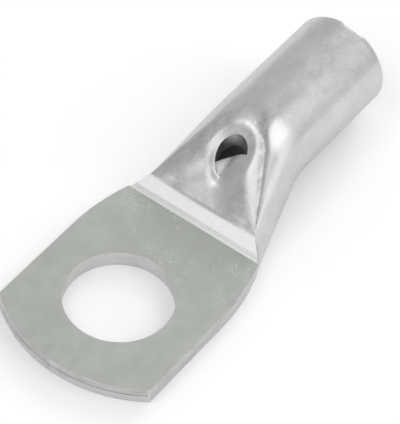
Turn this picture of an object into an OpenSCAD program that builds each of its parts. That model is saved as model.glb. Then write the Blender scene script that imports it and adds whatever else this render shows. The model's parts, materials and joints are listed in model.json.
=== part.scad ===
// Tubular cable lug: one length of round tube, pressed flat at one end and pierced for a bolt.
// +X runs from the bolt hole to the cable's mouth, +Z is up, and the underside of the palm is z = 0.

/* [Tube] */
// Outside diameter of the tube
tube_d = 12.5; // [11.5:0.1:13.5]
// Thickness of the tube's wall
wall = 1.35; // [1.1:0.05:1.6]
// Distance from the bolt hole's axis to the open mouth
mouth_x = 43.7; // [38:0.1:60]
// Rounding of the mouth's outer edge
mouth_round = 0.45; // [0.3:0.05:0.7]
// Chamfer on the mouth's inner edge
mouth_chamfer = 0.3; // [0.1:0.05:0.4]

/* [Palm] */
// Diameter of the bolt hole
bolt_hole_d = 13; // [8.4:0.1:15]
// Width of the palm
palm_w = 21.7; // [20:0.1:24]
// Thickness of the palm
palm_t = 2.2; // [1.8:0.05:2.6]
// Distance from the bolt hole's axis to the tip
tip_x = 11.8; // [10.5:0.1:16]
// Radius of the arc that the tip is cropped to
tip_r = 18; // [14:0.5:30]
// Where the palm starts to draw in towards the tube
shoulder_x = 5.3; // [3:0.1:6.5]
// Radius of the shoulders
shoulder_r = 27; // [24:0.5:40]
// Height of the seam between the two pressed walls, seen at the tip
seam_h = 0.12; // [0.05:0.01:0.2]
// Depth of that seam
seam_depth = 0.35; // [0.2:0.05:0.8]
// Half of the angle that the seam spans along the tip's arc
seam_half_angle = 27; // [15:1:32]

/* [Shoulder strip] */
// Distance from the bolt hole's axis to the end of the coined palm
palm_end_x = 14; // [12.5:0.1:15]
// Height of the step that the coining leaves
step_h = 0.3; // [0.1:0.05:0.5]
// Width of the ledge above the step
ledge_w = 0.45; // [0.2:0.05:0.8]
// Slope of the strip that rises from the ledge
strip_slope = 58; // [50:1:70]
// Height of the strip
strip_h = 1.8; // [1.2:0.1:2.4]
// How far the strip's top corners stand in from the sides
crest_inset = 1.3; // [0.6:0.1:1.6]

/* [Transition] */
// Distance from the bolt hole's axis to where the tube's top is full height
round_x = 24; // [22:0.2:28]
// Lean of the round end's plane, as travel along X for each unit down
round_lean = 0.3; // [0.2:0.02:0.6]
// Length over which the transition bends into the barrel at the top
bend = 2.4; // [0.8:0.1:3]
// The same length at the underside
under_bend = 0.6; // [0.3:0.1:1.5]
// Half of the angle that the pressed panel keeps at the top of the tube
apex_angle = 20; // [10:1:24]
// Depth of the dish pressed in the panel
dish = 0.45; // [0.1:0.05:0.7]
// Height of the rolled ridge inside each edge of the panel
ridge_h = 0.55; // [0:0.05:0.65]
// Distance of the ridge's top from the panel's edge
ridge_in = 1.9; // [1.5:0.1:3]

/* [Inspection hole] */
// Diameter of the inspection hole
sight_d = 3.7; // [2.5:0.1:4.5]
// Distance from the bolt hole's axis to the inspection hole's axis
sight_x = 20.5; // [19:0.1:22]
// How far the inspection hole stands off the middle, towards -Y
sight_off = 0.2; // [0.1:0.05:0.5]

/* [Hidden] */
tin = [0.74, 0.75, 0.74];
// Facets on each round face
$fn = 96;
// How far a cut passes the face that it opens
over = 1;
// Rounding of the folded sides' lower edges
edge_round = 0.35;
// Height of the slit that the hollow ends in
slit_h = 0.15;
// Inset that keeps the transition clear of the exact faces which it meets
skin = 0.02;
// The same for the hollow, whose flat facets stay outside the round bore
bore_skin = 0.04;
// Length over which the transition runs on inside the barrel's wall
lap = 0.5;

tube_r = tube_d / 2;
bore_r = tube_r - wall;
tip_centre_x = tip_r - tip_x;
ledge_z = palm_t + step_h;
foot_x = palm_end_x + ledge_w;
crest_x = foot_x + strip_h / tan(strip_slope);
crest_z = ledge_z + strip_h;
panel_slope = atan((tube_d - crest_z) / (round_x - crest_x));

// How far the hollow's round end lies behind the outside's, which keeps the wall's thickness on the slope
hollow_travel = wall * tan(panel_slope / 2);
// Share of the pressed form that shows inside
inner_press = 0.6;

// Half the palm's width at a place along X, where the shoulders are drawn in
function half_w(x) = palm_w / 2 - shoulder_r
    + sqrt(pow(shoulder_r, 2) - pow(max(0, x - shoulder_x), 2));

// ---- Transition: spokes run from the fold's section to the round section ----

// Spokes on one side: across the panel, down the flank, under the side, and along the sole
panel_n = 10;
flank_n = 12;
under_n = 8;
sole_n = 3;
// Angles from the top, on the round section, where the flank and the lower corner end
side_angle = 100;
sole_angle = 170;
// How much the panel's spokes crowd towards its edge, where the ridge stands
crowding = 1.2;
// Share of a spoke over which the ridge grows to its height
ridge_start = 0.15;
// Steps along the straight part of a spoke, and round its bend
straight_n = 9;
bend_n = 5;

function blend(a, b, f) = a + (b - a) * f;
// Point on an elliptical corner from a to b that bulges towards the corner point c
function corner(a, b, c, f) = a + (c - a) * sin(90 * f) + (b - c) * (1 - cos(90 * f));

// Place [y, z] on a fold section, for its top corner, side, sole and top height. The flank's spokes crowd
// at the top corner, from which the flank spreads like a fan
function fold_point(top_y, top_z, side_y, side_z, sole_y, base_z, part, f) =
    part == 0 ? [f * top_y, top_z] :
    part == 1 ? blend([top_y, top_z], [side_y, side_z], f * f) :
    part == 2 ? corner([side_y, side_z], [sole_y, base_z], [side_y, base_z], f) :
    [(1 - f) * sole_y, base_z];

// Angle from the top on the round section
function round_angle(part, f) =
    part == 0 ? f * apex_angle :
    part == 1 ? blend(apex_angle, side_angle, f) :
    part == 2 ? blend(side_angle, sole_angle, f) :
    blend(sole_angle, 180, f);

// The spokes of one side, each as its part of the section and its share of that part
half_spokes = concat(
    [for (k = [0:panel_n - 1]) [0, 1 - pow(1 - k / panel_n, crowding)]],
    [for (k = [0:flank_n - 1]) [1, k / flank_n]],
    [for (k = [0:under_n - 1]) [2, k / under_n]],
    [for (k = [0:sole_n]) [3, k / sole_n]]);
last_spoke = len(half_spokes) - 1;
// Both sides, as [side, part, share]
spokes = concat(
    [for (s = half_spokes) [1, s[0], s[1]]],
    [for (k = [1:last_spoke - 1]) let (s = half_spokes[last_spoke - k]) [-1, s[0], s[1]]]);

// Where a spoke reaches the round section of radius r
function round_point(r, s) =
    let (a = round_angle(s[1], s[2]), z = tube_r + r * cos(a))
    [round_x + (tube_d - z) * round_lean, s[0] * r * sin(a), z];

// How far the panel's surface is moved along its normal: up on the ridge, which fades out towards the
// middle, and down in the dish
function press(s, v) =
    let (half = blend(half_w(crest_x) - crest_inset, tube_r * sin(apex_angle), min(1, v)),
         t = (1 - s[2]) * half / ridge_in,
         ridge = ridge_h * min(1, v / ridge_start) * t * exp((1 - t * t) / 2),
         sunk = dish * (1 - pow(s[2], 2)))
    s[1] == 0 ? sin(180 * min(1, v / 1.5)) * (ridge - sunk) : 0;

// Point on a spoke: v from 0 to 1 is straight, and from 1 to 2 it bends into the barrel
function spoke_point(start, r, travel, s, v, press_share) =
    let (end = round_point(r, s) + [travel, 0, 0],
         way = (end - start) / norm(end - start),
         own_bend = blend(bend, under_bend, (1 - cos(round_angle(s[1], s[2]))) / 2),
         turn_in = end - own_bend * way,
         turn_out = end + [bend, 0, 0],
         w = v - 1,
         lift = press_share * press(s, v))
    (v <= 1 ? blend(start, turn_in, v) : blend(blend(turn_in, end, w), blend(end, turn_out, w), w))
    + lift * [-sin(panel_slope), 0, cos(panel_slope)];

// A fold section as a ring of points
function fold_ring(x, top_y, top_z, side_y, side_z, sole_y, base_z) =
    [for (s = spokes)
        let (p = fold_point(top_y, top_z, side_y, side_z, sole_y, base_z, s[1], s[2]))
        [x, s[0] * p[0], p[1]]];

// The rings from a fold section to the section of radius r, along every spoke
function loft_rings(first, r, travel, press_share) =
    let (steps = concat([for (k = [0:straight_n]) k / straight_n], [for (k = [1:bend_n]) 1 + k / bend_n]))
    [for (v = steps)
        [for (i = [0:len(spokes) - 1]) spoke_point(first[i], r, travel, spokes[i], v, press_share)]];

// The rings with their last one again, moved along the barrel by travel
function run_on(rings, travel) = concat(rings, [[for (p = rings[len(rings) - 1]) p + [travel, 0, 0]]]);

// The middle of a ring
function middle(ring) = [for (axis = [0:2]) sum([for (p = ring) p[axis]]) / len(ring)];
function sum(values) = values * [for (value = values) 1];

// Triangles of the wall between rings of n points, and of the fan that closes the first ring. The rings
// start at point number base, and the wall faces outwards, or inwards if it is flipped
function turned(t, flip) = flip ? [t[0], t[2], t[1]] : t;
function wall_faces(base, n, m, flip) =
    [for (j = [0:m - 2], i = [0:n - 1])
        let (a = base + j * n + i, b = base + j * n + (i + 1) % n)
        each [turned([a, b, b + n], flip), turned([a, b + n, a + n], flip)]];
function cap_faces(base, n, centre, flip) =
    [for (i = [0:n - 1]) turned([centre, base + (i + 1) % n, base + i], flip)];

// A closed skin between outer and inner rings, open like a cup at its last ring
module cup(outer, inner) {
    n = len(outer[0]);
    m_out = len(outer);
    m_in = len(inner);
    inner_base = n * m_out;
    outer_end = n * (m_out - 1);
    inner_end = inner_base + n * (m_in - 1);
    centre = n * (m_out + m_in);
    rim = [for (i = [0:n - 1])
        let (k = (i + 1) % n)
        each [[outer_end + i, outer_end + k, inner_end + k], [outer_end + i, inner_end + k, inner_end + i]]];
    polyhedron(
        concat([for (ring = concat(outer, inner)) each ring], [middle(outer[0]), middle(inner[0])]),
        concat(wall_faces(0, n, m_out, false), wall_faces(inner_base, n, m_in, true),
            cap_faces(0, n, centre, false), cap_faces(inner_base, n, centre + 1, true), rim),
        convexity = 8);
}

// The section at the end of the palm and at the foot of the strip, as wide as the palm's shoulders there
function ledge_ring(x) =
    let (y = half_w(x) - skin)
    fold_ring(x, y - edge_round, ledge_z, y, palm_t / 2, y - edge_round, 0);

// From the end of the coined palm to the barrel, with the hollow that narrows to a slit between the walls
module transition() {
    crest_y = half_w(crest_x);
    crest = fold_ring(crest_x, crest_y - crest_inset, crest_z, crest_y, palm_t / 2, crest_y - edge_round, 0);
    outer = loft_rings(crest, tube_r - skin, 0, 1);
    slit_y = crest_y - 1.5 * wall;
    slit = fold_ring(crest_x, slit_y, wall + slit_h, slit_y, wall + slit_h / 2, slit_y - slit_h, wall);
    inner = loft_rings(slit, bore_r + bore_skin, hollow_travel, inner_press);
    cup(
        concat([ledge_ring(palm_end_x), ledge_ring(foot_x)], run_on(outer, hollow_travel + lap)),
        run_on(inner, lap));
}

// Half-space on the barrel's side of the round end's plane, moved along X by travel
module barrel_side(travel) {
    size = 4 * tube_d;
    translate([round_x + travel, 0, tube_d])
        rotate([0, -atan(round_lean), 0])
            translate([0, -size / 2, -size])
                cube([mouth_x, size, 2 * size]);
}

// ---- Barrel, palm and cuts ----

// The tube's wall in section, as distance from the axis and distance along it, with the mouth finished
module wall_section() {
    start = round_x - tube_d;
    difference() {
        union() {
            translate([bore_r, start])
                square([wall, mouth_x - mouth_round - start]);
            translate([bore_r, start])
                square([wall - mouth_round, mouth_x - start]);
            translate([tube_r - mouth_round, mouth_x - mouth_round])
                circle(r = mouth_round);
        }
        translate([bore_r, mouth_x])
            rotate(45)
                square(mouth_chamfer * sqrt(2), center = true);
    }
}

module barrel() {
    intersection() {
        translate([0, 0, tube_r])
            rotate([0, 90, 0])
                rotate_extrude()
                    wall_section();
        barrel_side(bend + hollow_travel + lap / 2);
    }
}

// The palm seen from above: a band with drawn-in shoulders, cropped by the tip's arc
module palm_outline() {
    intersection() {
        translate([tip_centre_x, 0])
            circle(r = tip_r);
        translate([-tip_x, -palm_w / 2])
            square([tip_x + palm_end_x, palm_w]);
        shoulder();
        mirror([0, 1])
            shoulder();
    }
}

// The side of the palm's outline that draws in at +Y
module shoulder() {
    translate([-2 * tip_x, -palm_w])
        square([2 * tip_x + shoulder_x, 2 * palm_w]);
    translate([shoulder_x, palm_w / 2 - shoulder_r])
        circle(r = shoulder_r, $fn = 180);
}

module palm() {
    linear_extrude(palm_t)
        palm_outline();
}

// The line where the two walls of the flattened tube meet, open along the tip
module tip_seam() {
    translate([tip_centre_x, 0, palm_t / 2 - seam_h / 2])
        rotate([0, 0, 180 - seam_half_angle])
            rotate_extrude(angle = 2 * seam_half_angle)
                translate([tip_r - seam_depth, 0])
                    square([seam_depth + over, seam_h]);
}

module cable_lug() {
    color(tin)
    difference() {
        union() {
            palm();
            transition();
            barrel();
        }
        tip_seam();
        translate([0, 0, -over])
            cylinder(d = bolt_hole_d, h = palm_t + 2 * over);
        translate([sight_x, -sight_off, tube_r - wall])
            cylinder(d = sight_d, h = tube_d);
    }
}

cable_lug();
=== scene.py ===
import json
import math
import bpy
from mathutils import Matrix, Vector

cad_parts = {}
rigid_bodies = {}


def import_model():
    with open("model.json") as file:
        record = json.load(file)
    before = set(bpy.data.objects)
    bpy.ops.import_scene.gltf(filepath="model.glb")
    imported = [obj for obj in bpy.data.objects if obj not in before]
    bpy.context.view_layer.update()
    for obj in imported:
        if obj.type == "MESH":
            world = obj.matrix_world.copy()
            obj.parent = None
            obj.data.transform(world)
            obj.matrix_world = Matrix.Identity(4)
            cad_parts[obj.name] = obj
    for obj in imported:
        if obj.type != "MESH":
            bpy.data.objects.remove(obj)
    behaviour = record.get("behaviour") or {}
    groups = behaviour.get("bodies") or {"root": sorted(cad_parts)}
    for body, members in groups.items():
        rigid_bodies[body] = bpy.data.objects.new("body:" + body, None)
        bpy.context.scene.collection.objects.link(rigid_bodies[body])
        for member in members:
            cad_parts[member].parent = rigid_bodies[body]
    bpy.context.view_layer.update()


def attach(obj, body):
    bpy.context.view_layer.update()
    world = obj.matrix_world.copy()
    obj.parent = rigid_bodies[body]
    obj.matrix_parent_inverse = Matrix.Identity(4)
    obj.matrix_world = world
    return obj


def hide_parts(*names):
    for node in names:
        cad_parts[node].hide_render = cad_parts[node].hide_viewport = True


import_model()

mm = 0.001

# sizes of the lug in millimetres: the same as the solid's, and the finer ones that only the visual has
lug = {
    "tubeD": 12.5, "wall": 1.35, "mouthX": 43.7, "mouthRound": 0.45, "mouthChamfer": 0.3,
    "barrelX": 32.0,  # from here on the barrel is plain
    "boltHoleD": 13.0, "palmW": 21.7, "palmT": 2.2, "tipX": 11.8, "tipR": 18.0,
    "sheetStartX": -13.0, "shoulderX": 5.3, "shoulderR": 27.0, "shoulderStep": 0.9, "palmFlatX": 13.8, "palmEndX": 14.0,
    "soleInset": 0.05,
    # the step, the ledge and the sloping strip above it
    "stepH": 0.3, "stepBack": 0.1, "stepOn": 0.12, "ledgeW": 0.45, "ledgeRise": 0.13,
    "stripSlope": 58.0, "stripH": 1.8, "crestInset": 1.3, "edgeRound": 0.35,
    # lengths cut off at the corners of the step, the strip's foot and its crest
    "stepCut": 0.05, "footCut": 0.1, "crestCut": 0.3,
    "roundX": 24.0, "roundLean": 0.3, "bend": 2.4, "underBend": 0.6,
    "apexAngle": 20.0, "sideAngle": 100.0, "soleAngle": 170.0,
    # the pressed panel: its dish, the ridges inside its edges and the brow beyond them
    "dish": 0.45, "ridgeH": 0.55, "ridgeIn": 1.9, "ridgeStart": 0.15, "ridgeMeet": 0.6, "brow": 0.85, "browH": 0.09,
    "slitH": 0.15, "slitInset": 1.5, "innerPress": 0.6,
}
# how finely the sheet is divided, along each part of a spoke or round each part of a ring
divisions = {"panel": 40, "flank": 44, "under": 22, "sole": 10, "shoulder": 10, "cut": 3, "strip": 8, "crest": 5,
             "straight": 56, "bend": 8, "barrel": 20, "mouth": 5}
# the inspection hole, how far its rim is drawn in, and the lip that the punch left
sight = {
    "d": 3.7, "x": 20.5, "y": -0.2, "drawIn": 0.45, "drawInWidth": 0.75, "drawInStart": 0.15,
    "lipReach": 2.1, "lipDepth": 1.0, "lipT": 0.45, "lipTowards": (-0.845, -0.534, 0), "lipOver": 0.05,
    "lipBow": 0.25, "lipGap": 0.03, "divisions": 24,
}

tubeR = lug["tubeD"] / 2
boreR = tubeR - lug["wall"]
tipCentreX = lug["tipR"] - lug["tipX"]
ledgeZ = lug["palmT"] + lug["stepH"]
footX = lug["palmEndX"] + lug["ledgeW"]
crestX = footX + lug["stripH"] / math.tan(math.radians(lug["stripSlope"]))
crestZ = ledgeZ + lug["stripH"]
panelSlope = math.atan((lug["tubeD"] - crestZ) / (lug["roundX"] - crestX))
hollowTravel = lug["wall"] * math.tan(panelSlope / 2)
flankArc = tubeR * math.radians(lug["sideAngle"] - lug["apexAngle"])
apexHalf = tubeR * math.sin(math.radians(lug["apexAngle"]))


# ---- the sheet: spokes run along the lug, rings run round it ----

def halfWidth(x):
    past = max(0.0, x - lug["shoulderX"])
    return lug["palmW"] / 2 - lug["shoulderR"] + math.sqrt(lug["shoulderR"] ** 2 - past ** 2)


crestHalf = halfWidth(crestX) - lug["crestInset"]


def blend(a, b, f):
    return a + (b - a) * f


# place across and up on a flat section, for its top corner, side, sole and heights
def flatPoint(spoke, topY, topZ, sideY, sideZ, soleY, baseZ):
    side, part, f = spoke
    if part == "panel":
        y, z = f * topY, topZ
    elif part == "flank":
        y, z = blend(topY, sideY, f * f), blend(topZ, sideZ, f * f)
    elif part == "under":
        s, c = math.sin(math.pi / 2 * f), 1 - math.cos(math.pi / 2 * f)
        y = sideY + (soleY - sideY) * c
        z = sideZ + (baseZ - sideZ) * s
    else:
        y, z = (1 - f) * soleY, baseZ
    return side * y, z


# degrees from the top, on a round section
def roundAngle(spoke):
    part, f = spoke[1:]
    if part == "panel":
        return f * lug["apexAngle"]
    if part == "flank":
        return blend(lug["apexAngle"], lug["sideAngle"], f)
    if part == "under":
        return blend(lug["sideAngle"], lug["soleAngle"], f)
    return blend(lug["soleAngle"], 180.0, f)


def roundPoint(radius, spoke, travel):
    a = math.radians(roundAngle(spoke))
    z = tubeR + radius * math.cos(a)
    return Vector((lug["roundX"] + (lug["tubeD"] - z) * lug["roundLean"] + travel,
                   spoke[0] * radius * math.sin(a), z))


# a spoke is its side, the part it runs along and its share of that part; the panel's crowd towards its edge
def spokeList():
    half = [("panel", 1 - (1 - k / divisions["panel"]) ** 1.2) for k in range(divisions["panel"])]
    half += [("flank", k / divisions["flank"]) for k in range(divisions["flank"])]
    half += [("under", k / divisions["under"]) for k in range(divisions["under"])]
    half += [("sole", k / divisions["sole"]) for k in range(divisions["sole"] + 1)]
    return [(1, *s) for s in half] + [(-1, *s) for s in reversed(half[1:-1])]


# distance from the panel's edge, inwards on the panel and outwards on the flank;
# v runs from 0 at the crest to 1 at the round end
def fromEdge(spoke, v):
    part, f = spoke[1:]
    if part == "panel":
        return (1 - f) * blend(crestHalf, apexHalf, min(1.0, v))
    return f * flankArc * min(1.0, v)


# how far a point is pressed along the panel's normal: down in the dish, up on the ridges and brows
def pressed(spoke, v):
    part, f = spoke[1:]
    fade = math.sin(math.pi * min(1.0, v / 1.5))
    if part == "flank":
        t = fromEdge(spoke, v) / lug["brow"]
        return fade * lug["browH"] * t * math.exp((1 - t * t) / 2)
    if part != "panel":
        return 0
    t = fromEdge(spoke, v) / (lug["ridgeIn"] + lug["ridgeMeet"] * min(1.0, v) ** 3)
    ridge = lug["ridgeH"] * min(1.0, v / lug["ridgeStart"]) * t * math.exp((1 - t * t) / 2)
    sunk = lug["dish"] * (1 - f ** 2)
    return fade * (ridge - sunk)


# how far the punch has drawn the panel down round the inspection hole
def drawnIn(x, y):
    past = max(0.0, math.hypot(x - sight["x"], y - sight["y"]) - sight["d"] / 2 + sight["drawInStart"])
    return sight["drawIn"] * math.exp(-(past / sight["drawInWidth"]) ** 2)


# points from a to c past the corner b, which is cut off at the two lengths
def corner(a, b, c, before, after, steps):
    start = b + (a - b).normalized() * before
    end = b + (c - b).normalized() * after
    return [(start.lerp(b, w)).lerp(b.lerp(end, w), w) for w in [k / steps for k in range(steps + 1)]]


def straight(a, b, steps):
    return [a.lerp(b, k / steps) for k in range(1, steps)]


# the bend is longer at the top than at the underside
def bendLength(spoke):
    return blend(lug["bend"], lug["underBend"], (1 - math.cos(math.radians(roundAngle(spoke)))) / 2)


# presses a run of points that rises from the crest and ends with the bend
def pressRun(run, spoke, share):
    normal = Vector((-math.sin(panelSlope), 0, math.cos(panelSlope)))
    bendStart = len(run) - 1 - divisions["bend"]
    for k, p in enumerate(run):
        v = k / bendStart if k <= bendStart else 1 + (k - bendStart) / divisions["bend"]
        p += normal * pressed(spoke, v) * share


def outerPath(spoke):
    def flat(x, inset, topZ, soleInset):
        y = halfWidth(x)
        return Vector((x, *flatPoint(spoke, y - inset, topZ, y, lug["palmT"] / 2, y - soleInset, 0.0)))
    palmT, palmEnd, sole, edge = lug["palmT"], lug["palmEndX"], lug["soleInset"], lug["edgeRound"]
    shoulder = [lug["shoulderX"] + k * lug["shoulderStep"] for k in range(divisions["shoulder"])]
    points = [flat(x, 0.0, palmT, sole) for x in [lug["sheetStartX"], -6.0, 0.0] + shoulder]
    step = flat(palmEnd - lug["stepBack"], 0.0, palmT, sole)
    ledge = flat(palmEnd + lug["stepOn"], edge, ledgeZ - lug["ledgeRise"], edge)
    foot = flat(footX, edge, ledgeZ, edge)
    crest = flat(crestX, lug["crestInset"], crestZ, edge)
    top = roundPoint(tubeR, spoke, 0.0)
    stepCut, footCut, crestCut = lug["stepCut"], lug["footCut"], lug["crestCut"]
    points += corner(points[-1], step, ledge, stepCut, stepCut, divisions["cut"])
    points += corner(step, ledge, foot, stepCut, stepCut, divisions["cut"])
    points += corner(ledge, foot, crest, footCut, footCut, divisions["cut"])
    crestTurn = corner(foot, crest, top, crestCut, crestCut, divisions["crest"])
    barrel = Vector((lug["barrelX"], top.y, top.z))
    topTurn = corner(crest, top, barrel, bendLength(spoke), lug["bend"], divisions["bend"])
    points += straight(points[-1], crestTurn[0], divisions["strip"])
    n = divisions["straight"]
    rising = crestTurn[:-1] + [crestTurn[-1].lerp(topTurn[0], k / n) for k in range(n)] + topTurn
    pressRun(rising, spoke, 1.0)
    if spoke[1] == "panel":
        for p in rising:
            p.z -= drawnIn(p.x, p.y)
    points += rising
    end = points[-1]
    r, ch = lug["mouthRound"], lug["mouthChamfer"]
    for k in range(divisions["barrel"] + 1):
        x = lug["barrelX"] + k * (lug["mouthX"] - r - lug["barrelX"]) / divisions["barrel"]
        points.append(Vector((x, end.y, end.z)))
    outward = Vector((0, end.y, end.z - tubeR)).normalized()
    for k in range(1, divisions["mouth"] + 1):
        a = math.pi / 2 * k / divisions["mouth"]
        points.append(Vector((lug["mouthX"] - r + r * math.sin(a), 0, tubeR)) + outward * (tubeR - r + r * math.cos(a)))
    points.append(Vector((lug["mouthX"], 0, tubeR)) + outward * (boreR + ch))
    points.append(Vector((lug["mouthX"] - ch, 0, tubeR)) + outward * boreR)
    return points


# the socket and the slit that it closes to, from the mouth inwards
def innerPath(spoke):
    slitY = halfWidth(crestX) - lug["slitInset"] * lug["wall"]
    low, high = lug["wall"], lug["wall"] + lug["slitH"]
    start = Vector((crestX, *flatPoint(spoke, slitY, high, slitY, (low + high) / 2, slitY - lug["slitH"], low)))
    end = roundPoint(boreR, spoke, hollowTravel)
    turn = corner(start, end, end + Vector((5, 0, 0)), bendLength(spoke), lug["bend"], divisions["bend"])
    n = divisions["straight"] // 2
    rising = [start.lerp(turn[0], k / n) for k in range(n)] + turn
    pressRun(rising, spoke, lug["innerPress"])
    last = rising[-1]
    rising += [Vector((x, last.y, last.z)) for x in [32.0, 35.0, 38.0, 41.0]]
    return rising[::-1]


# ---- modelling ----

def activate(piece):
    bpy.ops.object.select_all(action="DESELECT")
    piece.select_set(True)
    bpy.context.view_layer.objects.active = piece


def editMode(selectMode="FACE"):
    bpy.ops.object.mode_set(mode="EDIT")
    bpy.ops.mesh.select_mode(type=selectMode)
    bpy.ops.mesh.select_all(action="DESELECT")


def objectMode():
    bpy.ops.object.mode_set(mode="OBJECT")


def applyModifier(piece, kind, **settings):
    activate(piece)
    bpy.ops.object.modifier_add(type=kind)
    modifier = piece.modifiers[-1]
    for key, value in settings.items():
        setattr(modifier, key, value)
    bpy.ops.object.modifier_apply(modifier=modifier.name)


# a grid, rolled up so that its rows follow the paths, and closed where it is still open
def rolledSheet(name, paths, finishOf):
    rows, columns = len(paths[0]), len(paths)
    bpy.ops.object.select_all(action="DESELECT")
    bpy.ops.mesh.primitive_grid_add(x_subdivisions=rows - 1, y_subdivisions=columns, size=2)
    sheet = bpy.context.object
    sheet.name = name
    for f in sheet.data.polygons:
        row = int((f.center.x + 1) / 2 * (rows - 1))
        column = int((f.center.y + 1) / 2 * columns)
        f.material_index = finishOf(row, column)
    for v in sheet.data.vertices:
        row = round((v.co.x + 1) / 2 * (rows - 1))
        column = round((v.co.y + 1) / 2 * columns) % columns
        v.co = paths[column][row] * mm
    editMode("VERT")
    bpy.ops.mesh.select_all(action="SELECT")
    bpy.ops.mesh.remove_doubles(threshold=1e-7)
    bpy.ops.mesh.select_all(action="DESELECT")
    bpy.ops.mesh.select_mode(type="EDGE")
    bpy.ops.mesh.select_non_manifold(extend=False, use_wire=False, use_boundary=True, use_multi_face=False,
                                     use_non_contiguous=False, use_verts=False)
    bpy.ops.mesh.edge_face_add()
    bpy.ops.mesh.select_all(action="SELECT")
    bpy.ops.mesh.normals_make_consistent(inside=False)
    objectMode()
    return sheet


def cut(body, cutter, operation="DIFFERENCE"):
    applyModifier(body, "BOOLEAN", operation=operation, solver="EXACT", object=cutter)
    bpy.data.objects.remove(cutter)


def roundCutter(radius, x, y, zLow, zHigh, facets):
    bpy.ops.object.select_all(action="DESELECT")
    bpy.ops.mesh.primitive_cylinder_add(vertices=facets, radius=radius * mm, depth=(zHigh - zLow) * mm,
                                        location=(x * mm, y * mm, (zLow + zHigh) / 2 * mm))
    return bpy.context.object


def sightCutter(radius, zLow):
    return roundCutter(radius, sight["x"], sight["y"], zLow, 16, 96)


# a thin section, spun along the tip where the two walls of the flattened tube meet
seamLine = {"h": 0.07, "depth": 0.12, "halfAngle": 36.0, "steps": 40}


def seamCutter():
    bpy.ops.object.select_all(action="DESELECT")
    bpy.ops.mesh.primitive_plane_add(size=1, location=(0, 0, 0))
    seam = bpy.context.object
    inner = tipCentreX - lug["tipR"] + seamLine["depth"]
    for v in seam.data.vertices:
        v.co = Vector((inner - 1.0 if v.co.x < 0 else inner, 0, lug["palmT"] / 2 + seamLine["h"] * v.co.y)) * mm
    editMode("FACE")
    bpy.ops.mesh.select_all(action="SELECT")
    half = math.radians(seamLine["halfAngle"])
    centre = (tipCentreX * mm, 0, 0)
    bpy.ops.transform.rotate(value=-half, orient_axis="Z", center_override=centre)
    bpy.ops.mesh.spin(steps=seamLine["steps"], angle=2 * half, center=centre, axis=(0, 0, 1))
    bpy.ops.mesh.select_all(action="SELECT")
    bpy.ops.mesh.normals_make_consistent(inside=False)
    objectMode()
    return seam


# the arc that the tip is cropped to: a disc, drawn out towards the barrel
def tipCutter():
    arc = roundCutter(lug["tipR"], tipCentreX, 0, -20, 20, 256)
    activate(arc)
    editMode("VERT")
    objectMode()
    for v in arc.data.vertices:
        v.select = v.co.x > 1e-6
    bpy.ops.object.mode_set(mode="EDIT")
    bpy.ops.transform.translate(value=(0.06, 0, 0))
    objectMode()
    return arc


# the sheared edges are rolled over: most at the tip's top, less along the sides and round the bolt hole
edgeRoll = {"width": 0.3, "segments": 4, "endX": 13.7, "near": 0.02,
            "tipTop": 1.0, "tipBottom": 0.4, "holeTop": 0.45, "holeBottom": 0.3, "sideTop": 0.4}


def edgeWeight(a, b):
    top = min(a.z, b.z) > lug["palmT"] - 0.01
    bottom = max(a.z, b.z) < 0.01
    if max(a.x, b.x) > edgeRoll["endX"] or not (top or bottom):
        return 0
    lines = {
        "tip": lambda p: math.hypot(p.x - tipCentreX, p.y) - lug["tipR"],
        "hole": lambda p: math.hypot(p.x, p.y) - lug["boltHoleD"] / 2,
        "side": lambda p: abs(p.y) - halfWidth(p.x),
    }
    for name, off in lines.items():
        if max(abs(off(a)), abs(off(b))) < edgeRoll["near"]:
            return edgeRoll.get(name + ("Top" if top else "Bottom"), 0)
    return 0


def rollEdges(piece):
    mesh = piece.data
    weights = mesh.attributes.new("bevel_weight_edge", "FLOAT", "EDGE")
    for e in mesh.edges:
        a, b = [mesh.vertices[k].co / mm for k in e.vertices]
        weights.data[e.index].value = edgeWeight(a, b)
    applyModifier(piece, "BEVEL", limit_method="WEIGHT", width=edgeRoll["width"] * mm, segments=edgeRoll["segments"])


# the near side of the inspection hole is a lip: it leaves the panel at the rim and dips towards the middle
def makeLip(surface):
    reach, radius, over = sight["lipReach"], sight["d"] / 2, sight["lipOver"]
    towards = Vector(sight["lipTowards"])
    across = Vector((-towards.y, towards.x, 0))
    bpy.ops.object.select_all(action="DESELECT")
    bpy.ops.mesh.primitive_grid_add(x_subdivisions=sight["divisions"], y_subdivisions=sight["divisions"], size=2)
    lip = bpy.context.object
    lip.name = "holeLip"
    for v in lip.data.vertices:
        w = v.co.y * (radius + over)
        far = radius - reach - sight["lipBow"] * (1 - v.co.y ** 2)
        s = blend(far, radius + over, (v.co.x + 1) / 2)
        place = Vector((sight["x"], sight["y"], 0)) + towards * s + across * w
        hit = surface.ray_cast(Vector((place.x, place.y, 30)) * mm, Vector((0, 0, -1)))[1]
        share = max(0.0, (radius + over - s) / reach)
        v.co = Vector((place.x, place.y, hit.z / mm - sight["lipGap"] - sight["lipDepth"] * share ** 1.5)) * mm
    applyModifier(lip, "SOLIDIFY", thickness=sight["lipT"] * mm, offset=-1)
    cut(lip, sightCutter(radius + 0.01, 0), "INTERSECT")
    return lip


# flat places need no divisions
def mergeFlat(piece, endX):
    activate(piece)
    editMode("FACE")
    objectMode()
    for f in piece.data.polygons:
        f.select = f.center.x < endX * mm
    bpy.ops.object.mode_set(mode="EDIT")
    bpy.ops.mesh.dissolve_limited(angle_limit=math.radians(0.3), delimit={"NORMAL", "MATERIAL"})
    objectMode()


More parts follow.
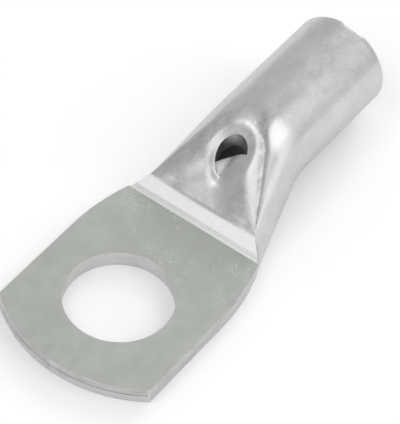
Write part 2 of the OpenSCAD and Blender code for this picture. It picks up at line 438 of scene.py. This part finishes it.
def makeLug():
    spokes = spokeList()
    paths = [outerPath(s) + innerPath(s) for s in spokes]
    outside = len(outerPath(spokes[0]))

    def finishOf(row, column):
        part = spokes[column][1]
        x = paths[column][row].x
        if row >= outside - 1:
            return finishes.index("bore")
        if x < lug["palmEndX"] - 0.05:
            return finishes.index("palm" if part in ("panel", "sole") else "edge")
        if part == "panel" and x < crestX - 0.05:
            return finishes.index("strip")
        return finishes.index("panel" if part == "panel" and x < lug["roundX"] + 1.0 else "tube")
    body = rolledSheet("lugBody", paths, finishOf)
    for name in finishes:
        body.data.materials.append(tinFinish(name))
    mergeFlat(body, lug["palmFlatX"])
    print("rolled sheet:", len(body.data.polygons), "faces")
    cut(body, tipCutter(), "INTERSECT")
    cut(body, roundCutter(lug["boltHoleD"] / 2, 0, 0, -1, 4, 160))
    lip = makeLip(body)
    for material in body.data.materials:
        lip.data.materials.append(material)
    for f in lip.data.polygons:
        f.material_index = finishes.index("panel")
    cut(body, sightCutter(sight["d"] / 2, boreR))
    for f in body.data.polygons:
        off = math.hypot(f.center.x / mm - sight["x"], f.center.y / mm - sight["y"])
        if abs(f.normal.z) < 0.05 and off < sight["d"] / 2 + 0.05:
            f.material_index = finishes.index("edge")
    cut(body, seamCutter())
    rollEdges(body)
    print("cut and rolled edges:", len(body.data.polygons), "faces")
    activate(body)
    lip.select_set(True)
    bpy.ops.object.join()
    return body


# ---- finishes ----

# cut walls come first, because a cut's new faces take the first finish
finishes = ["edge", "palm", "panel", "tube", "bore", "strip"]
looks = {
    # colour, and how much it varies; roughness from and to; how much the limbs keep of their light;
    # heights in mm of fine grain, dimples and scratches; how the marks are stretched
    "edge": {"colour": (0.545, 0.545, 0.54), "vary": 0.1, "rough": (0.3, 0.42), "metal": 0.95, "limb": 1.0,
             "grain": 0.002, "dimple": 0.012, "scratch": 0.006, "smear": (0.6, 0.6, 3.0),
             "specks": 0.3, "wear": 0.25, "creaseShadeAndGrime": 0.0},
    "palm": {"colour": (0.575, 0.598, 0.565), "vary": 0.03, "rough": (0.3, 0.36), "metal": 1.0, "limb": 0.9,
             "grain": 0.0003, "dimple": 0.002, "scratch": 0.0008, "smear": (0.8, 1.2, 1.0),
             "specks": 0.9, "wear": 0.0, "creaseShadeAndGrime": 0.0},
    "panel": {"colour": (0.615, 0.62, 0.612), "vary": 0.07, "rough": (0.24, 0.32), "metal": 1.0, "limb": 0.86,
              "grain": 0.0002, "dimple": 0.016, "scratch": 0.0015, "smear": (0.7, 1.0, 0.7),
              "specks": 0.2, "wear": 0.15, "creaseShadeAndGrime": 0.3},
    "tube": {"colour": (0.61, 0.616, 0.605), "vary": 0.04, "rough": (0.23, 0.29), "metal": 1.0, "limb": 0.86,
             "grain": 0.0003, "dimple": 0.009, "scratch": 0.0006, "smear": (0.6, 0.9, 0.9),
             "specks": 0.3, "wear": 0.15, "creaseShadeAndGrime": 0.3},
    "bore": {"colour": (0.42, 0.42, 0.41), "vary": 0.1, "rough": (0.4, 0.55), "metal": 0.7, "limb": 1.0,
             "grain": 0.003, "dimple": 0.01, "scratch": 0.002, "smear": (0.4, 1.0, 1.0),
             "specks": 0.1, "wear": 0.0, "creaseShadeAndGrime": 0.0},
    "strip": {"colour": (0.625, 0.63, 0.625), "vary": 0.05, "rough": (0.27, 0.33), "metal": 1.0, "limb": 1.0,
              "grain": 0.0001, "dimple": 0.004, "scratch": 0.0005, "smear": (1.6, 0.4, 1.6),
              "specks": 0.1, "wear": 0.1, "creaseShadeAndGrime": 0.0},
}


# the nodes of one material
class Graph:
    def __init__(self, material):
        material.use_nodes = True
        self.nodes, self.links = material.node_tree.nodes, material.node_tree.links
        self.shader = self.nodes["Principled BSDF"]

    def add(self, kind, settings=None, **inputs):
        node = self.nodes.new(kind)
        for key, value in (settings or {}).items():
            setattr(node, key, value)
        for key, value in inputs.items():
            socket = node.inputs[int(key[1:])] if key[0] == "i" and key[1:].isdigit() else node.inputs[key]
            self.put(value, socket)
        return node

    def put(self, value, socket):
        if isinstance(value, bpy.types.NodeSocket):
            self.links.new(value, socket)
        else:
            socket.default_value = value

    def math(self, operation, a, b=0.0, c=0.0):
        return self.add("ShaderNodeMath", {"operation": operation}, i0=a, i1=b, i2=c).outputs[0]

    def spread(self, value, low, high, toLow, toHigh):
        node = self.add("ShaderNodeMapRange", {"interpolation_type": "SMOOTHSTEP"}, Value=value)
        for key, number in zip(("From Min", "From Max", "To Min", "To Max"), (low, high, toLow, toHigh)):
            self.put(number, node.inputs[key])
        return node.outputs[0]

    def place(self):
        return self.add("ShaderNodeTexCoord").outputs["Object"]

    # noise with about so many cells to a millimetre, stretched by the given factors
    def noise(self, perMm, stretch=(1.0, 1.0, 1.0), detail=3.0, offset=0.0):
        scaled = self.add("ShaderNodeMapping", None, Vector=self.place(), Scale=[perMm / mm * f for f in stretch],
                          Location=(offset, offset, offset))
        node = self.add("ShaderNodeTexNoise", None, Vector=scaled.outputs[0], Scale=1.0, Detail=detail, Roughness=0.6)
        return node.outputs["Fac"]


# where shade is painted: one near the panel's creases and none further off, wider towards the top of the tube
crease = {"fromTop": 3.0, "width": (0.25, 0.9), "lowZ": (4.0, 5.0), "farSide": 0.35}


def creaseShadeMask(g):
    place = g.add("ShaderNodeSeparateXYZ", None, i0=g.place())
    x, y, z = [g.math("DIVIDE", place.outputs[k], mm) for k in range(3)]
    topX = lug["roundX"]
    slope = (crestHalf - apexHalf) / (topX - crestX)
    creaseY = g.math("MULTIPLY_ADD", g.math("SUBTRACT", x, crestX), -slope, crestHalf)
    off = g.math("ABSOLUTE", g.math("SUBTRACT", g.math("ABSOLUTE", y), creaseY))
    reach = g.spread(x, crestX, topX, *crease["width"])
    near = g.spread(g.math("DIVIDE", off, reach), 0.2, 1.0, 1.0, 0.0)
    ends = g.math("MULTIPLY", g.spread(x, crestX, crestX + 1.5, 0.0, 1.0),
                  g.spread(x, topX + 0.5, topX + crease["fromTop"], 1.0, 0.0))
    side = g.math("MULTIPLY", g.spread(z, *crease["lowZ"], 0.0, 1.0), g.spread(y, -2.0, 2.0, 1.0, crease["farSide"]))
    return g.math("MULTIPLY", g.math("MULTIPLY", near, ends), side)


# a small ring that a tool left at the top of the panel
ring = {"centre": (0.0240, -0.0010, 0.0124), "radius": 0.38, "width": 0.12, "height": 0.03}


def ringMark(g):
    away = g.add("ShaderNodeVectorMath", {"operation": "DISTANCE"}, i0=g.place(), i1=ring["centre"]).outputs["Value"]
    off = g.math("DIVIDE", g.math("SUBTRACT", away, ring["radius"] * mm), ring["width"] * mm)
    return g.math("EXPONENT", g.math("MULTIPLY", g.math("MULTIPLY", off, off), -1.0))


# small bright specks stand in loose groups, most of them towards the strip
def speckMask(g, amount):
    group = g.spread(g.noise(0.32, offset=19.0), 0.50, 0.60, 0.0, amount)
    dots = g.add("ShaderNodeTexVoronoi", None, Vector=g.place(), Scale=2.8 / mm, Randomness=1.0).outputs["Distance"]
    alongX = g.add("ShaderNodeSeparateXYZ", None, i0=g.place()).outputs[0]
    group = g.math("MULTIPLY", group, g.spread(alongX, 2.0 * mm, 8.0 * mm, 0.15, 1.0))
    return g.math("MULTIPLY", g.spread(dots, 0.17, 0.32, 1.0, 0.0), group)


def tinFinish(name):
    look = looks[name]
    material = bpy.data.materials.new("tin" + name.capitalize())
    g = Graph(material)
    sockets = g.shader.inputs
    cloud = g.noise(0.16, offset=3.0)
    mottle = g.noise(0.6, look["smear"], 3.0, 7.0)
    fine = g.noise(3.5, detail=2.0, offset=11.0)
    # lighter and darker places, and painted shade in the creases, mottled like grime
    vary = look["vary"]
    tone = g.math("ADD", g.spread(mottle, 0.3, 0.7, 1 - vary, 1 + vary), g.spread(cloud, 0.35, 0.65, -vary / 3, vary / 3))
    # painted shade, partly grime: the colour is darkened near the panel's creases in a mottled pattern
    creaseShadeAndGrime = g.spread(g.noise(1.1, detail=3.0, offset=53.0), 0.30, 0.66, 0.0, look["creaseShadeAndGrime"])
    tone = g.math("SUBTRACT", tone, g.math("MULTIPLY", creaseShadeMask(g), creaseShadeAndGrime))
    # specks and worn edges are bright
    worn = g.spread(g.add("ShaderNodeNewGeometry").outputs["Pointiness"], 0.54, 0.62, 0.0, look["wear"])
    bare = g.math("MAXIMUM", speckMask(g, look["specks"]), worn)
    colour = g.add("ShaderNodeVectorMath", {"operation": "SCALE"}, i0=look["colour"], Scale=tone).outputs[0]
    mixed = g.add("ShaderNodeMix", {"data_type": "RGBA"}, i0=bare, i6=colour, i7=(0.93, 0.93, 0.92, 1)).outputs[2]
    g.put(mixed, sockets["Base Color"])
    g.put(look["metal"], sockets["Metallic"])
    g.put((look["limb"], look["limb"], look["limb"], 1), sockets["Specular Tint"])
    rough = g.spread(g.math("MULTIPLY_ADD", fine, 0.4, g.math("MULTIPLY", mottle, 0.6)), 0.35, 0.65, *look["rough"])
    g.put(g.math("MULTIPLY_ADD", bare, -0.12, rough), sockets["Roughness"])
    # relief in millimetres
    dimple = g.math("MULTIPLY", g.noise(0.55, look["smear"], 1.5, 31.0), look["dimple"])
    grain = g.math("MULTIPLY", fine, look["grain"])
    lines = g.spread(g.noise(1.4, (0.35, 5.0, 5.0), 3.0, 43.0), 0.60, 0.66, 0.0, 1.0)
    relief = g.math("ADD", g.math("ADD", dimple, grain), g.math("MULTIPLY", lines, -look["scratch"]))
    if name in ("panel", "tube"):
        relief = g.math("MULTIPLY_ADD", ringMark(g), ring["height"], relief)
    bump = g.add("ShaderNodeBump", None, Height=relief, Strength=1.0, Distance=mm)
    g.put(bump.outputs[0], sockets["Normal"])
    return material


body = makeLug()
activate(body)
bpy.ops.object.shade_smooth_by_angle(angle=math.radians(32))
# flat faces keep their own direction next to the rolled edges
applyModifier(body, "WEIGHTED_NORMAL", keep_sharp=True)
print("lug body:", len(body.data.polygons), "faces")

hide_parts("cable_lug")
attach(body, "root")

# ---- floor, lamps and camera ----

studio = {
    "target": (0.016, 0.0, 0.005), "distance": 0.8,  # where the lamps point, and from how far off
    "floorSize": 6, "floorColour": (0.98, 0.98, 0.98),
    "floorLift": 0.11,  # how much whiter than its light the floor looks
    "skyMiddle": 0.61, "skyTurn": 0.12,  # level of the surroundings, and how much lighter they are towards +X
    # direction from the lug, size along and across in metres, level, and the way that the long side runs
    "lamps": {
        "lowLeft": ((-0.956, 0.198, 0.217), (0.66, 0.27), 1.15, (-0.053, -0.843, 0.535)),
        "overLeft": ((-0.43, 0.293, 0.854), (0.75, 0.08), 0.62, (0.895, 0.059, 0.44)),
        "aboveLeft": ((-0.46, 0.345, 0.818), (0.20, 0.14), 0.80, (-0.513, -0.857, 0.056)),
        "zenith": ((-0.15, 0.36, 0.92), (0.45, 0.18), 0.32, (-0.999, -0.007, -0.047)),
        "besideCamera": ((-0.624, -0.066, 0.779), (0.76, 0.34), 0.85, (-0.31, -0.88, -0.32)),
        "right": ((0.322, -0.612, 0.722), (0.44, 0.53), 1.12, (0.947, 0.199, -0.253)),
        "lowRight": ((0.352, -0.924, 0.149), (0.31, 0.65), 0.70, (0.908, 0.298, -0.295)),
        "behind": ((0.90, 0.10, 0.45), (0.4, 0.3), 4.0, (0.0, 1.0, 0.0)),
    },
}

bpy.ops.object.select_all(action="DESELECT")
bpy.ops.mesh.primitive_plane_add(size=studio["floorSize"], location=(0, 0, -0.02 * mm))
floor = bpy.context.object
floor.name = "floor"
white = bpy.data.materials.new("whiteFloor")
g = Graph(white)
g.put((*studio["floorColour"], 1), g.shader.inputs["Base Color"])
g.put(0.9, g.shader.inputs["Roughness"])
path = g.add("ShaderNodeLightPath").outputs
seen = g.math("MAXIMUM", path["Is Camera Ray"], g.math("MAXIMUM", path["Is Glossy Ray"], path["Is Transmission Ray"]))
g.put((1, 1, 1, 1), g.shader.inputs["Emission Color"])
g.put(g.math("MULTIPLY", seen, studio["floorLift"]), g.shader.inputs["Emission Strength"])
floor.data.materials.append(white)


def addLamp(name, direction, size, level, along):
    light = bpy.data.lights.new(name, "AREA")
    light.shape = "RECTANGLE"
    light.size, light.size_y = size
    light.energy = level * math.pi * size[0] * size[1]
    lamp = bpy.data.objects.new(name, light)
    bpy.context.scene.collection.objects.link(lamp)
    away = Vector(direction).normalized()
    side = (Vector(along) - away * Vector(along).dot(away)).normalized()
    lamp.matrix_world = Matrix((side, away.cross(side), away)).transposed().to_4x4()
    lamp.location = Vector(studio["target"]) + away * studio["distance"]


for name, settings in studio["lamps"].items():
    addLamp(name, *settings)

world = bpy.data.worlds.new("studio")
bpy.context.scene.world = world
world.use_nodes = True
nodes, links = world.node_tree.nodes, world.node_tree.links
coordinate = nodes.new("ShaderNodeTexCoord")
split = nodes.new("ShaderNodeSeparateXYZ")
skyLevel = nodes.new("ShaderNodeMath")
skyLevel.operation = "MULTIPLY_ADD"
skyLevel.inputs[1].default_value = studio["skyTurn"]
skyLevel.inputs[2].default_value = studio["skyMiddle"]
links.new(coordinate.outputs["Generated"], split.inputs[0])
links.new(split.outputs["X"], skyLevel.inputs[0])
links.new(skyLevel.outputs[0], nodes["Background"].inputs["Color"])
print("floor, sky and", len(studio["lamps"]), "lamps")

view = {"place": (-0.142365, -0.103450, 0.222504), "turn": (40.5883, -3.0734, -53.1367), "lens": 211.11}
cameraData = bpy.data.cameras.new("camera")
cameraData.lens, cameraData.sensor_width, cameraData.clip_start = view["lens"], 36, 0.005
camera = bpy.data.objects.new("camera", cameraData)
bpy.context.scene.collection.objects.link(camera)
camera.location = view["place"]
camera.rotation_euler = [math.radians(a) for a in view["turn"]]
bpy.context.scene.camera = camera
bpy.context.scene.view_settings.view_transform = "Standard"
print("camera")
